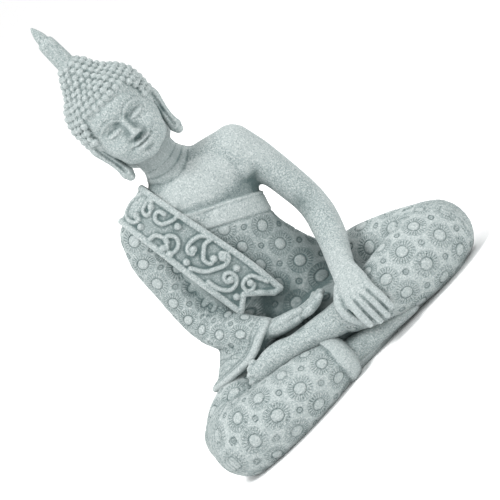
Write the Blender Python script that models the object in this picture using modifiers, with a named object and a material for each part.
"""Seated buddha figurine, cast in one piece of pale grey-green stone composite.

The figure faces -Y, +Z is up, and the origin is the middle of the flat underside. The body is
built the way a carver blocks it out: rounded masses for the torso, limbs and head are fused into
one skin and softened, then the sharper carving (hands, feet, face, curls, hems and sash) is
fused onto it, and the underside is cut flat.

Landmarks are given in 168ths of the height, which are millimetres on the real piece.
"""

import math

import bmesh
import bpy
import numpy as np
from mathutils import Matrix, Vector

HEIGHT = 0.168
SHARE = HEIGHT / 168

# Sizes of the carving, in metres
CURL_RADIUS = 0.00135
CURL_PITCH = 0.0026
CURL_ROW_PITCH = 0.0024
HEM_RELIEF = 0.0009
SASH_THICKNESS = 0.0058
SASH_RIM_RADIUS = 0.0011
SCROLL_RADIUS = 0.00085
SCROLL_DOT_RADIUS = 0.0013

# How fine the fused skin is, and how many triangles are kept
MASS_VOXEL = 0.0011
SKIN_VOXEL = 0.00050
MASS_SMOOTHING = 7
SKIN_SMOOTHING = 2
KEPT_TRIANGLES = 9600

STONE_COLOUR = (0.46, 0.53, 0.51, 1.0)
STONE_ROUGHNESS = 0.85

# Each row of a tube is x, y, z, half width, half depth
TORSO = [
    (0, 13, -3, 29, 18),
    (0, 13, 8, 30, 19),
    (0, 13, 20, 28, 18),
    (0, 12.5, 31, 22.5, 15.5),
    (0, 12, 41, 18.2, 13),
    (0, 11, 50, 15.6, 11.2),
    (0, 10.5, 57, 14.6, 10.6),
    (0, 10.5, 64, 16.2, 11.4),
    (0, 10.5, 72, 19.3, 12.4),
    (0, 10.5, 80, 21.5, 12.2),
    (0, 10.2, 87, 20.0, 10.6),
    (0, 10, 92, 14.5, 8.6),
    (0, 9.5, 96, 10.5, 7.6),
]
SHOULDER_GIRDLE = [
    (-21, 9, 86.5, 8.0, 8.4),
    (-12, 9.5, 88.8, 7.6, 7.8),
    (0, 10, 90.5, 7.4, 7.4),
    (12, 9.5, 88.8, 7.6, 7.8),
    (21, 9, 86.0, 8.0, 8.4),
]
NECK = [
    (0, 9.5, 92, 10.4, 9.0),
    (0, 9.0, 97, 9.3, 8.2),
    (0, 8.2, 103, 8.0, 8.0),
    (0, 7.6, 112, 8.6, 8.4),
]
BARE_ARM = [
    (21.5, 8.5, 86, 8.6, 8.4),
    (24.6, 8.2, 78, 7.2, 7.8),
    (26.2, 8.0, 70, 6.5, 7.0),
    (27.2, 7.5, 62, 6.3, 6.6),
    (27.8, 6.4, 54, 6.0, 6.4),
    (27.2, 3.6, 47.4, 6.0, 6.4),
    (25.4, -0.6, 42.4, 6.0, 6.2),
    (23.4, -6, 38.2, 5.7, 5.6),
    (20.6, -13, 34.2, 5.2, 4.8),
    (18.2, -20, 31.0, 5.0, 4.0),
]
SLEEVED_ARM = [
    (-23.4, 8.5, 86, 9.6, 8.8),
    (-27.4, 8.2, 77, 9.0, 8.6),
    (-29.0, 7.8, 67, 8.0, 8.2),
    (-30.0, 7.0, 57, 7.8, 8.0),
    (-29.8, 4.4, 47.5, 7.8, 8.0),
    (-26.8, -1.5, 40.6, 7.6, 7.4),
    (-21.5, -7.5, 35.8, 6.6, 6.2),
    (-16.5, -11.0, 32.8, 5.0, 4.6),
]
FRONT_THIGH = [
    (-12, 16, 14, 14.5, 15.5),
    (-25, 10, 14.6, 14.5, 15.6),
    (-37, 1, 14.2, 14.0, 15.2),
    (-45, -9, 12.8, 13.5, 14.2),
    (-48.8, -17, 11.8, 13.5, 14.0),
]
FRONT_SHIN = [
    (-48.3, -19, 11.6, 15.6, 14.2),
    (-40, -23, 11.2, 13.9, 13.4),
    (-28, -23.5, 10.4, 12.5, 12.6),
    (-17, -21.8, 9.6, 11.4, 11.4),
    (-10, -20.2, 8.8, 9.8, 9.8),
]
BACK_THIGH = [
    (12, 16, 16, 15, 17),
    (25, 9, 17.6, 15, 17),
    (37, 1.5, 15.8, 14.4, 15.8),
    (46, -5, 13.8, 13.6, 14.4),
    (51.2, -9, 12.6, 13.0, 13.4),
]
BACK_SHIN = [
    (51.2, -10, 12.4, 13.0, 13.4),
    (42, -14.5, 12.8, 13.4, 13.8),
    (30, -17.5, 13.6, 12.4, 12.8),
    (19, -19, 15.2, 10.0, 10.4),
    (9, -19.5, 17.6, 7.4, 7.6),
    (0, -19.5, 20.0, 5.8, 5.8),
]
CHEST = [
    (-20, 6.2, 83, 8.0, 6.5),
    (0, 4.8, 82.5, 8.5, 6.4),
    (20, 6.2, 83, 8.0, 6.5),
]
COLLAR = [
    (-13, 7.2, 89.5, 5.0, 5.4),
    (0, 6.8, 91.0, 5.0, 5.2),
    (13, 7.2, 89.5, 5.0, 5.4),
]
SASH_BED = [
    (-14.5, 3, 33, 9.0, 8.0),
    (-14.0, 3, 44, 8.5, 7.2),
    (-14.0, 3.5, 54, 8.0, 6.6),
    (-15.0, 4.5, 66, 7.0, 6.0),
]
KNEE_TOP = [
    (-52, -7, 12.8, 12.0, 11.2),
    (-46, -6.5, 15.2, 13.0, 12.4),
    (-38, -6.5, 16.4, 13.0, 13.0),
    (-29, -6.5, 16.0, 12.0, 12.4),
]
LAP = [
    (-30, -6, 10, 15, 13),
    (-14, -4, 15, 15, 13.5),
    (0, -3, 15, 14, 13.5),
    (14, -3, 14, 14, 13),
    (30, -4, 10, 14, 12),
]
SEAT = [
    (-46, -13, 3, 15, 8),
    (-25, -3, 3, 20, 8),
    (0, 2, 3, 24, 8),
    (25, 1, 3, 20, 8),
    (47, -8, 3, 13, 8),
]
SLEEVE_FOLD = [
    (-22.6, 3.4, 34, 6.2, 8.2),
    (-22.5, 6, 50, 5.4, 8.4),
    (-22.0, 6.5, 62, 5.0, 8.0),
    (-20.5, 8, 74, 5.4, 8.0),
]

# The head: balls are x, y, z and three half sizes
HAIR_CAP = [
    (0, 8.0, 150.6, 3.0, 2.9),
    (0, 8.0, 149.3, 4.7, 4.6),
    (0, 8.0, 147.4, 6.4, 6.3),
    (0, 8.0, 145.2, 7.5, 7.4),
    (0, 8.0, 142.9, 8.0, 8.0),
    (0, 8.0, 141.0, 8.7, 8.8),
    (0, 8.0, 139.2, 10.2, 10.4),
    (0, 8.0, 137.2, 11.9, 12.2),
    (0, 8.0, 135.0, 13.5, 13.9),
    (0, 8.0, 132.4, 14.8, 15.2),
    (0, 8.0, 129.5, 15.4, 15.8),
    (0, 8.2, 126.0, 15.5, 15.8),
    (0, 8.8, 122.0, 15.1, 15.2),
    (0, 10.2, 118.0, 13.8, 13.2),
    (0, 11.2, 113.5, 12.4, 11.2),
    (0, 11.6, 109.6, 11.2, 9.2),
]
FLAME = [
    (0, 8.0, 148.0, 3.9, 3.4),
    (0, 8.0, 152.0, 3.55, 3.1),
    (0, 8.0, 157.0, 3.2, 2.8),
    (0, 8.0, 160.2, 3.0, 2.6),
    (0, 8.0, 161.8, 2.4, 2.2),
    (0, 8.0, 164.6, 1.75, 1.6),
    (0, 8.0, 166.8, 0.95, 0.9),
    (0, 8.0, 167.9, 0.30, 0.3),
]
FACE_BALLS = [
    (0, 4.6, 120.5, 12.6, 12.4, 15.2),
    (0, 4.6, 127.5, 12.5, 13.2, 8.6),
    (0, 2.6, 111.5, 9.4, 9.6, 5.6),
    (-5.8, -1.5, 115.6, 5.6, 5.6, 5.6),
    (5.8, -1.5, 115.6, 5.6, 5.6, 5.6),
    (0, -4.0, 112.2, 5.4, 4.8, 4.6),
    (0, -3.4, 108.4, 4.6, 4.2, 3.2),
    (-5.5, -5.9, 121.2, 3.4, 2.5, 2.1),
    (5.5, -5.9, 121.2, 3.4, 2.5, 2.1),
    (0, -11.6, 116.7, 1.8, 1.7, 1.4),
    (-1.9, -9.6, 116.2, 1.3, 1.6, 1.1),
    (1.9, -9.6, 116.2, 1.3, 1.6, 1.1),
]
NOSE = [
    (0, -8.2, 124.0, 1.3, 1.4),
    (0, -9.4, 120.8, 1.3, 1.5),
    (0, -10.9, 117.4, 1.7, 1.5),
]
UPPER_LIP = [(-3.9, -7.3, 112.9, 0.5, 0.5), (0, -9.2, 113.0, 0.9, 0.9), (3.9, -7.3, 112.9, 0.5, 0.5)]
LOWER_LIP = [(-3.2, -7.4, 112.1, 0.5, 0.5), (0, -8.9, 111.3, 1.0, 1.0), (3.2, -7.4, 112.1, 0.5, 0.5)]
BROW = [(1.4, -8.7, 123.2, 0.7, 0.7), (5.2, -8.3, 125.8, 0.9, 0.9), (9.6, -5.2, 124.2, 0.6, 0.6)]
EAR = [
    (14.0, 6.2, 123.4, 1.3, 2.2),
    (14.5, 6.8, 120.6, 1.9, 3.7),
    (13.3, 6.6, 114.0, 1.9, 3.1),
    (12.6, 6.2, 109.4, 2.0, 2.6),
    (12.1, 5.8, 106.4, 2.4, 2.4),
]

# The hand over the shin: its back, the thumb and the four fingers
SHIN_HAND = [
    (18.4, -19.5, 31.2, 4.9, 3.6),
    (17.0, -25.0, 27.4, 6.0, 3.4),
    (15.8, -29.0, 22.4, 6.8, 3.0),
    (15.6, -30.6, 18.4, 6.6, 2.6),
]
SHIN_THUMB = [
    (12.6, -24.0, 27.5, 2.4, 2.2),
    (8.2, -26.8, 23.6, 2.1, 2.0),
    (7.6, -28.2, 18.6, 1.9, 1.8),
    (9.4, -28.8, 14.2, 1.6, 1.6),
]
SHIN_FINGER_X = [10.9, 14.2, 17.5, 20.5]
SHIN_FINGER_TIP_Z = [12.2, 10.6, 10.2, 11.4]
FINGER_RADIUS = 1.75

# The open hand in the lap
LAP_PALM = [
    (-17.5, -10.5, 32.4, 3.6, 4.4),
    (-11.5, -13.0, 30.6, 3.4, 5.4),
    (-5.0, -14.8, 29.2, 2.9, 5.6),
]
LAP_THUMB = [
    (-14.0, -15.0, 32.4, 1.9, 2.0),
    (-8.5, -17.6, 32.0, 1.8, 1.9),
    (-3.6, -17.8, 30.6, 1.5, 1.6),
]
LAP_FINGER_Y = [-18.2, -15.2, -12.2, -9.4]
LAP_FINGER_TIP_X = [5.6, 7.0, 6.4, 4.4]

# The bare foot on the front leg, and the one tucked under the back leg
UPPER_FOOT = [
    (2, -19.5, 19.4, 5.8, 5.8),
    (-6, -19.5, 21.4, 4.9, 4.9),
    (-13, -19.3, 23.0, 4.3, 4.3),
    (-19, -18.8, 24.6, 4.8, 5.0),
    (-25, -18.6, 24.8, 3.8, 4.9),
    (-30, -18.8, 24.4, 2.8, 4.4),
]
TOES = [
    (-33.6, -19.6, 22.0, 2.0),
    (-32.9, -19.2, 24.6, 1.5),
    (-31.9, -18.6, 26.8, 1.4),
    (-30.4, -18.0, 28.4, 1.3),
    (-28.6, -17.2, 29.4, 1.2),
]
LOWER_FOOT = [
    (-3, -18.0, 7.0, 5.4, 5.4),
    (5, -19.5, 6.2, 4.6, 4.6),
    (12, -20.5, 5.0, 4.2, 3.6),
    (20, -21.2, 3.6, 3.8, 2.6),
    (27, -21.4, 2.6, 3.0, 1.8),
]

# Edges of the sash, from its lower end up over the shoulder and down the back
SASH_OUTER_EDGE = [
    (-19.6, -4.4, 41.5),
    (-21.4, -4.4, 54),
    (-23.6, -4.0, 70),
    (-25.6, -1.8, 86),
    (-26.6, 3.4, 93.4),
    (-27.0, 8.5, 95.6),
    (-26.4, 14.0, 93.0),
    (-24.5, 18.6, 82),
    (-22.0, 20.8, 62),
    (-20.0, 22.6, 46),
]
SASH_INNER_EDGE = [
    (-1.6, -4.6, 38.6),
    (-3.2, -4.2, 54),
    (-6.2, -4.2, 70),
    (-9.4, -3.0, 86),
    (-11.4, 2.2, 96.2),
    (-12.0, 8.5, 99.4),
    (-11.4, 15.0, 96.0),
    (-9.4, 20.4, 84),
    (-6.2, 23.0, 62),
    (-3.6, 24.6, 44),
]

# Scrolls on the front of the sash, each a run of points given by x and height as seen from the front
VIEW_TILT = math.radians(10)
SCROLLS = [
    [(-13.9, 97.3), (-18.7, 97.6), (-22.6, 96.3), (-24.0, 93.9), (-23.1, 91.5), (-21.1, 91.2)],
    [(-12.9, 93.8), (-15.8, 93.4), (-18.0, 92.2), (-18.2, 90.2), (-16.4, 90.2)],
    [(-13.3, 86.2), (-15.5, 88.3), (-17.0, 86.9), (-16.8, 84.7), (-15.1, 83.1), (-12.4, 82.1), (-8.6, 82.3)],
    [(-23.6, 83.3), (-21.1, 82.8), (-19.7, 80.8), (-19.9, 78.4), (-21.4, 76.7)],
    [(-18.9, 79.8), (-17.4, 79.2), (-16.3, 77.0), (-17.3, 74.8), (-19.7, 73.8), (-22.1, 74.4)],
    [(-7.1, 68.0), (-9.5, 70.9), (-12.9, 72.2), (-15.8, 71.9), (-17.0, 70.3), (-16.2, 68.8)],
    [(-7.3, 67.6), (-10.5, 68.0), (-13.3, 66.3), (-14.9, 63.9), (-14.1, 61.6)],
    [(-20.5, 65.7), (-17.6, 61.2), (-14.4, 58.9), (-11.0, 57.6), (-8.3, 58.1), (-7.5, 60.1), (-9.1, 61.4)],
    [(-19.4, 57.5), (-18.5, 53.3), (-16.3, 50.4), (-13.4, 49.6), (-11.2, 51.4), (-11.2, 53.8), (-12.9, 55.2)],
    [(-4.2, 42.6), (-5.4, 45.5), (-6.9, 48.0), (-9.1, 48.9), (-11.4, 48.0), (-11.8, 45.5), (-10.0, 44.4)],
]
SCROLL_DOTS = [(-22.6, 88.9), (-13.3, 92.7), (-13.1, 79.4), (-19.9, 67.9), (-8.7, 53.6), (-16.0, 46.5)]

# The robe's upper edge across the chest, as a plane through a point with a normal
ROBE_EDGE_POINT = (6, -2, 75.2)
ROBE_EDGE_NORMAL = (0.46, 0.16, 0.87)
ROBE_HEM_WIDTH = 7.6
SLEEVE_HEM = [
    (-31, 15, 28.4, 1.1, 1.2),
    (-39.5, 10, 27.8, 1.2, 1.3),
    (-45.2, 2, 28.2, 1.2, 1.4),
    (-42, -6, 29.2, 1.3, 1.6),
    (-36, -12.0, 29.9, 1.4, 1.7),
    (-30, -15.2, 30.3, 1.5, 1.8),
    (-25, -16.0, 31.6, 1.6, 2.0),
    (-20, -15.2, 33.8, 1.6, 2.2),
    (-15, -13.0, 35.0, 1.5, 2.0),
]
SLEEVE_CORE = (-22, 4, 0)
SLEEVE_TOP = [
    (-28.0, 13.0, 40),
    (-31.8, 11.0, 39.5),
    (-33.6, 6, 39),
    (-33.5, 0, 38.5),
    (-32, -5, 38.5),
    (-28.6, -8.6, 38.6),
    (-25, -10.6, 38.8),
    (-20.5, -11.6, 38.4),
    (-15, -11.4, 36.6),
]


def catmull_rom(rows, steps):
    """A smooth run of rows through the given ones, with this many steps between neighbours."""
    rows = np.asarray(rows, float)
    padded = np.vstack([2 * rows[0] - rows[1], rows, 2 * rows[-1] - rows[-2]])
    t = np.linspace(0, 1, steps, endpoint=False)[:, None]
    spans = [
        0.5 * (2 * b + (c - a) * t + (2 * a - 5 * b + 4 * c - d) * t**2 + (3 * b - a - 3 * c + d) * t**3)
        for a, b, c, d in zip(padded, padded[1:], padded[2:], padded[3:])
    ]
    return np.vstack(spans + [rows[-1:]])


def add_grid_tube(bm, rings):
    """Skins rings of points, shaped (ring, around, 3), and closes both ends with a fan."""
    count, around, _ = rings.shape
    verts = [bm.verts.new(p) for p in rings.reshape(-1, 3)]
    first, last = bm.verts.new(rings[0].mean(0)), bm.verts.new(rings[-1].mean(0))
    faces = []
    for i in range(around):
        j = (i + 1) % around
        faces.append(bm.faces.new((first, verts[j], verts[i])))
        end = (count - 1) * around
        faces.append(bm.faces.new((last, verts[end + i], verts[end + j])))
        for row in range(0, end, around):
            faces.append(
                bm.faces.new(
                    (verts[row + i], verts[row + j], verts[row + around + j], verts[row + around + i])
                )
            )
    bmesh.ops.recalc_face_normals(bm, faces=faces)


def add_tube(bm, stations, side=(1, 0, 0), steps=5, around=16, dome=1.0):
    """A tube of changing elliptical section through the stations, in shares; dome 0 gives flat ends."""
    rows = catmull_rom(stations, steps) * SHARE
    centres, half = rows[:, :3], np.maximum(rows[:, 3:], 0.05 * SHARE)
    tangents = np.gradient(centres, axis=0)
    tangents /= np.linalg.norm(tangents, axis=1)[:, None]
    lift = np.radians([75, 50, 25])
    cap = half.min(1) * dome
    head = centres[0] - tangents[0] * cap[0] * np.sin(lift)[:, None]
    tail = centres[-1] + tangents[-1] * cap[-1] * np.sin(lift[::-1])[:, None]
    centres = np.vstack([head, centres, tail])
    half = np.vstack([half[0] * np.cos(lift)[:, None], half, half[-1] * np.cos(lift[::-1])[:, None]])
    tangents = np.vstack([[tangents[0]] * 3, tangents, [tangents[-1]] * 3])
    across = np.asarray(side, float) - tangents * (tangents @ np.asarray(side, float))[:, None]
    across /= np.linalg.norm(across, axis=1)[:, None]
    deep = np.cross(tangents, across)
    angle = np.linspace(0, 2 * math.pi, around, endpoint=False)
    rings = (
        centres[:, None]
        + across[:, None] * (half[:, :1] * np.cos(angle))[:, :, None]
        + deep[:, None] * (half[:, 1:] * np.sin(angle))[:, :, None]
    )
    add_grid_tube(bm, rings)


def add_ball(bm, centre, half, segments=16):
    """An ellipsoid with its centre and three half sizes in shares."""
    ball = bmesh.new()
    place = Matrix.Translation(Vector(centre) * SHARE) @ Matrix.Diagonal((*half, 1))
    bmesh.ops.create_uvsphere(
        ball, u_segments=segments, v_segments=segments // 2, radius=SHARE, matrix=place
    )
    add_mesh(bm, ball)


def add_mesh(bm, shape):
    """Moves a finished shape into bm."""
    mesh = bpy.data.meshes.new("shape")
    shape.to_mesh(mesh)
    shape.free()
    bm.from_mesh(mesh)
    bpy.data.meshes.remove(mesh)


def mirrored(stations):
    """The same stations on the other side of the figure."""
    return [(-row[0], *row[1:]) for row in stations]


def add_body_masses(bm):
    """Torso, shoulders, neck, arms, legs and lap."""
    add_tube(bm, TORSO, around=28)
    add_tube(bm, SHOULDER_GIRDLE, side=(0, 0, 1))
    add_tube(bm, NECK)
    for arm in (BARE_ARM, SLEEVED_ARM):
        add_tube(bm, arm)
    for leg in (FRONT_THIGH, FRONT_SHIN, BACK_THIGH, BACK_SHIN):
        add_tube(bm, leg, side=(0, 1, 0), around=20)
    add_tube(bm, LAP, side=(0, 1, 0))
    add_tube(bm, SEAT, side=(0, 1, 0))
    add_tube(bm, SLEEVE_FOLD)
    for front in (CHEST, COLLAR):
        add_tube(bm, front, side=(0, 0, 1))
    add_tube(bm, SASH_BED)
    add_tube(bm, KNEE_TOP, side=(0, 1, 0))


def add_head(bm):
    """Hair cap, flame, face and ears."""
    add_tube(bm, HAIR_CAP, around=28)
    add_tube(bm, FLAME, around=12)
    for x, y, z, half_x, half_y, half_z in FACE_BALLS:
        add_ball(bm, (x, y, z), (half_x, half_y, half_z))
    add_tube(bm, NOSE, around=10)
    add_tube(bm, UPPER_LIP, side=(0, 0, 1), around=8)
    add_tube(bm, LOWER_LIP, side=(0, 0, 1), around=8)
    for make in (list, mirrored):
        add_tube(bm, make(BROW), side=(0, 0, 1), around=8)
        add_tube(bm, make(EAR), around=10)


def on_face(x, y, z):
    """Whether a place on the hair cap belongs to the face or the ears instead."""
    in_front = y < -1.6 and z < 133.4
    below_temple = y < 8.5 and z < 122.5
    return in_front or below_temple


def curl_places():
    """Rows of curl centres down the cap, every other row turned by half a pitch, in shares."""
    profile = catmull_rom(HAIR_CAP, 12)
    run = np.concatenate([[0], np.cumsum(np.hypot(np.diff(profile[:, 2]), np.diff(profile[:, 3])))])
    rows = int(run[-1] * SHARE / CURL_ROW_PITCH)
    places = []
    for row in range(rows + 1):
        at = row * run[-1] / rows
        _, y0, z, half_x, half_y = (np.interp(at, run, column) for column in profile.T)
        count = max(5, round(math.pi * (half_x + half_y) * SHARE / CURL_PITCH))
        for k in range(count):
            angle = 2 * math.pi * (k + 0.5 * (row % 2)) / count
            x, y = half_x * math.sin(angle), y0 - half_y * math.cos(angle)
            if not on_face(x, y, z):
                places.append((x, y, z))
    return places


def add_curls(bm):
    """One small ball for each curl of hair."""
    for place in curl_places():
        add_ball(bm, place, (CURL_RADIUS / SHARE,) * 3, segments=8)


def add_shin_hand(bm):
    """The hand that hangs over the shin, its fingers side by side."""
    add_tube(bm, SHIN_HAND)
    add_tube(bm, SHIN_THUMB, around=10)
    for x, tip_z in zip(SHIN_FINGER_X, SHIN_FINGER_TIP_Z):
        root_x = 15.7 + (x - 15.7) * 0.86
        finger = [
            (root_x, -31.0, 22.0, FINGER_RADIUS, FINGER_RADIUS),
            (x, -31.9, 17.5, FINGER_RADIUS, FINGER_RADIUS),
            (x, -31.6, tip_z, FINGER_RADIUS * 0.85, FINGER_RADIUS * 0.85),
        ]
        add_tube(bm, finger, around=10)


def add_lap_hand(bm):
    """The open hand in the lap, palm up, its fingers pointing across."""
    add_tube(bm, LAP_PALM, side=(0, 0, 1))
    add_tube(bm, LAP_THUMB, side=(0, 0, 1), around=10)
    for y, tip_x in zip(LAP_FINGER_Y, LAP_FINGER_TIP_X):
        finger = [
            (-4.5, y + 0.8, 29.0, 1.7, 1.7),
            (1.0, y, 28.4, 1.7, 1.6),
            (tip_x, y - 0.4, 29.2, 1.3, 1.3),
        ]
        add_tube(bm, finger, side=(0, 0, 1), around=10)


def add_feet(bm):
    """The upper foot with its toes, and the lower foot that shows past the cuff."""
    add_tube(bm, UPPER_FOOT, side=(0, 1, 0))
    for x, y, z, radius in TOES:
        add_ball(bm, (x, y, z), (radius * 1.25, radius, radius), segments=10)
    add_tube(bm, LOWER_FOOT, side=(0, 1, 0))


def add_robe(bm):
    """The robe over the torso: a slightly larger torso cut off at its slanting upper edge."""
    grow = HEM_RELIEF / SHARE
    for width, relief in ((None, 0.75 * grow), (ROBE_HEM_WIDTH, 1.25 * grow)):
        shell = bmesh.new()
        rows = [(x, y, z, a + relief, b + relief) for x, y, z, a, b in TORSO]
        add_tube(shell, rows, around=40, steps=8)
        normal = Vector(ROBE_EDGE_NORMAL).normalized()
        top = Vector(ROBE_EDGE_POINT)
        cuts = [(top, normal)]
        if width:
            cuts.append((top - normal * width, -normal))
        for point, outward in cuts:
            parts = shell.verts[:] + shell.edges[:] + shell.faces[:]
            bmesh.ops.bisect_plane(
                shell, geom=parts, plane_co=point * SHARE, plane_no=outward, clear_outer=True
            )
            rim = [edge for edge in shell.edges if edge.is_boundary]
            bmesh.ops.edgeloop_fill(shell, edges=rim)
        bmesh.ops.recalc_face_normals(shell, faces=shell.faces)
        add_mesh(bm, shell)


def add_sleeve(bm):
    """The wide end of the sleeve: cloth from the forearm down to its hem on the thigh."""
    add_tube(bm, SLEEVE_HEM, side=(0, 0, 1), around=10)
    hem = catmull_rom([row[:3] for row in SLEEVE_HEM], 5) * SHARE
    top = catmull_rom(SLEEVE_TOP, 5) * SHARE
    fall = np.linspace(0, 1, 9)[:, None, None]
    flare = np.concatenate([fall**1.6, fall**1.6, fall], axis=2)
    outer = top + (hem - top) * flare
    inward = (np.array(SLEEVE_CORE) * SHARE - outer) * (0.35, 0.35, 0)
    inner = outer + inward - np.array((0, 0, 2)) * SHARE - np.array((0, 0, 12)) * SHARE * fall
    rings = np.concatenate([outer, inner[::-1]]).transpose(1, 0, 2)
    add_grid_tube(bm, rings)


def add_cuff(bm):
    """The folded end of the robe round the front shin."""
    cuff = [
        (-8.0, -19.9, 8.5, 10.7, 10.6),
        (-5.6, -19.5, 8.3, 10.8, 10.7),
        (-3.4, -19.2, 8.1, 10.5, 10.3),
        (-1.6, -18.9, 7.9, 9.8, 9.7),
    ]
    add_tube(bm, cuff, side=(0, 1, 0), around=20, dome=0.12)


def sash_point(across, along):
    """A point on the sash's outer face: across 0 to 1 from its outer edge, along from 0 to 1."""
    outer = catmull_rom(SASH_OUTER_EDGE, 6)
    inner = catmull_rom(SASH_INNER_EDGE, 6)
    at = along * (len(outer) - 1)
    index = np.arange(len(outer))
    a = np.array([np.interp(at, index, column) for column in outer.T])
    b = np.array([np.interp(at, index, column) for column in inner.T])
    return a + (b - a) * across


def sash_normal(across, along):
    """The outward direction of the sash at a place on it."""
    step = 0.02
    sideways = sash_point(across + step, along) - sash_point(across - step, along)
    upwards = sash_point(across, min(along + step, 1)) - sash_point(across, max(along - step, 0))
    normal = np.cross(sideways, upwards)
    return normal / np.linalg.norm(normal)


def sash_end(across, along):
    """Moves the front end of the sash to its swallow-tail outline."""
    notch = 0.055 * (1 - abs(across - 0.38) / 0.42) if across < 0.80 else 0.0
    return along + max(notch, 0.0) * max(0.0, 1 - along / 0.12)


def add_sash(bm):
    """The folded sash: a slab over the shoulder, its raised rim, and scrolls on the front."""
    along = np.linspace(0, 1, 44)
    across = np.linspace(0, 1, 9)
    thickness = SASH_THICKNESS / SHARE
    rings = []
    for s in along:
        outer = [sash_point(u, sash_end(u, s)) for u in across]
        inner = [
            p - sash_normal(u, s) * thickness for u, p in zip(across[::-1], outer[::-1])
        ]
        rings.append(np.array(outer + inner) * SHARE)
    add_grid_tube(bm, np.array(rings))
    rim_radius = SASH_RIM_RADIUS / SHARE
    for u in (0.04, 0.96):
        edge = [(*sash_point(u, s), rim_radius, rim_radius) for s in np.linspace(0, 1, 24)]
        add_tube(bm, edge, steps=2, around=8)
    end = [(*sash_point(u, sash_end(u, 0.0)), rim_radius, rim_radius) for u in np.linspace(0.04, 0.96, 12)]
    add_tube(bm, end, side=(0, 1, 0), steps=2, around=8)
    for scroll in SCROLLS:
        path = [(*seen_on_sash(x, height), *(SCROLL_RADIUS / SHARE,) * 2) for x, height in scroll]
        add_tube(bm, path, side=(0, 1, 0), steps=4, around=8)
    for x, height in SCROLL_DOTS:
        add_ball(bm, seen_on_sash(x, height), (SCROLL_DOT_RADIUS / SHARE,) * 3, segments=10)


def seen_on_sash(x, height):
    """The place on the sash's front that shows at x and height in a view from VIEW_TILT above."""
    best, found = math.inf, None
    for along in np.linspace(0, 0.55, 60):
        left, right = sash_point(0, along), sash_point(1, along)
        across = (x - left[0]) / (right[0] - left[0])
        place = left + (right - left) * across
        miss = abs(place[2] * math.cos(VIEW_TILT) + place[1] * math.sin(VIEW_TILT) - height)
        if miss < best:
            best, found = miss, place
    return found


def mesh_object(name, bm, collection):
    """A new object that holds what was modelled in bm."""
    mesh = bpy.data.meshes.new(name)
    bm.to_mesh(mesh)
    bm.free()
    obj = bpy.data.objects.new(name, mesh)
    collection.objects.link(obj)
    return obj


def fuse(obj, voxel, smoothing):
    """Modifiers that make one skin of overlapping shapes and soften it."""
    remesh = obj.modifiers.new("one_skin", "REMESH")
    remesh.mode = "VOXEL"
    remesh.voxel_size = voxel
    smooth = obj.modifiers.new("soften", "SMOOTH")
    smooth.factor = 0.5
    smooth.iterations = round(smoothing)


def evaluated(obj):
    """The object's mesh with its modifiers applied."""
    graph = bpy.context.evaluated_depsgraph_get()
    return bpy.data.meshes.new_from_object(obj.evaluated_get(graph))


def apply_modifiers(obj):
    """Gives the object its evaluated mesh and drops its modifiers."""
    mesh = evaluated(obj)
    obj.modifiers.clear()
    obj.data = mesh


def centre_on_origin(obj):
    """Moves the mesh until its plan is centred on the origin."""
    corners = np.array(obj.bound_box)
    middle = (corners.min(0) + corners.max(0)) / 2
    obj.data.transform(Matrix.Translation((-middle[0], -middle[1], 0)))


def softened_masses(collection):
    """The mesh of the body's large forms, fused and smoothed."""
    bm = bmesh.new()
    add_body_masses(bm)
    obj = mesh_object("masses", bm, collection)
    fuse(obj, MASS_VOXEL, MASS_SMOOTHING)
    mesh = evaluated(obj)
    bpy.data.objects.remove(obj)
    return mesh


def cut_underside(obj, cutters):
    """Cuts everything below the ground plane away."""
    depth = 40 * SHARE
    bm = bmesh.new()
    bmesh.ops.create_cube(
        bm,
        size=1,
        matrix=Matrix.Translation((0, 0, -depth / 2)) @ Matrix.Diagonal((HEIGHT, HEIGHT, depth, 1)),
    )
    cutter = mesh_object("ground_cutter", bm, cutters)
    cutter.hide_render = True
    cutter.display_type = "WIRE"
    cut = obj.modifiers.new("flat_underside", "BOOLEAN")
    cut.operation = "DIFFERENCE"
    cut.object = cutter


def stone():
    """The figurine's one material."""
    material = bpy.data.materials.new("stone_composite")
    material.use_nodes = True
    shader = material.node_tree.nodes["Principled BSDF"]
    shader.inputs["Base Color"].default_value = STONE_COLOUR
    shader.inputs["Roughness"].default_value = STONE_ROUGHNESS
    shader.inputs["Metallic"].default_value = 0.0
    return material


def build():
    """Clears the scene and makes the figurine."""
    for obj in list(bpy.data.objects):
        bpy.data.objects.remove(obj)
    parts = bpy.data.collections.new("buddha_figurine")
    cutters = bpy.data.collections.new("cutters")
    for collection in (parts, cutters):
        bpy.context.scene.collection.children.link(collection)
    bm = bmesh.new()
    for carve in (add_head, add_curls, add_shin_hand, add_lap_hand, add_feet):
        carve(bm)
    for drape in (add_robe, add_sleeve, add_cuff, add_sash):
        drape(bm)
    bm.from_mesh(softened_masses(parts))
    figurine = mesh_object("buddha_figurine", bm, parts)
    fuse(figurine, SKIN_VOXEL, SKIN_SMOOTHING)
    apply_modifiers(figurine)
    thin = figurine.modifiers.new("fewer_faces", "DECIMATE")
    thin.ratio = KEPT_TRIANGLES / (2 * len(figurine.data.polygons))
    apply_modifiers(figurine)
    centre_on_origin(figurine)
    cut_underside(figurine, cutters)
    figurine.data.materials.append(stone())


build()
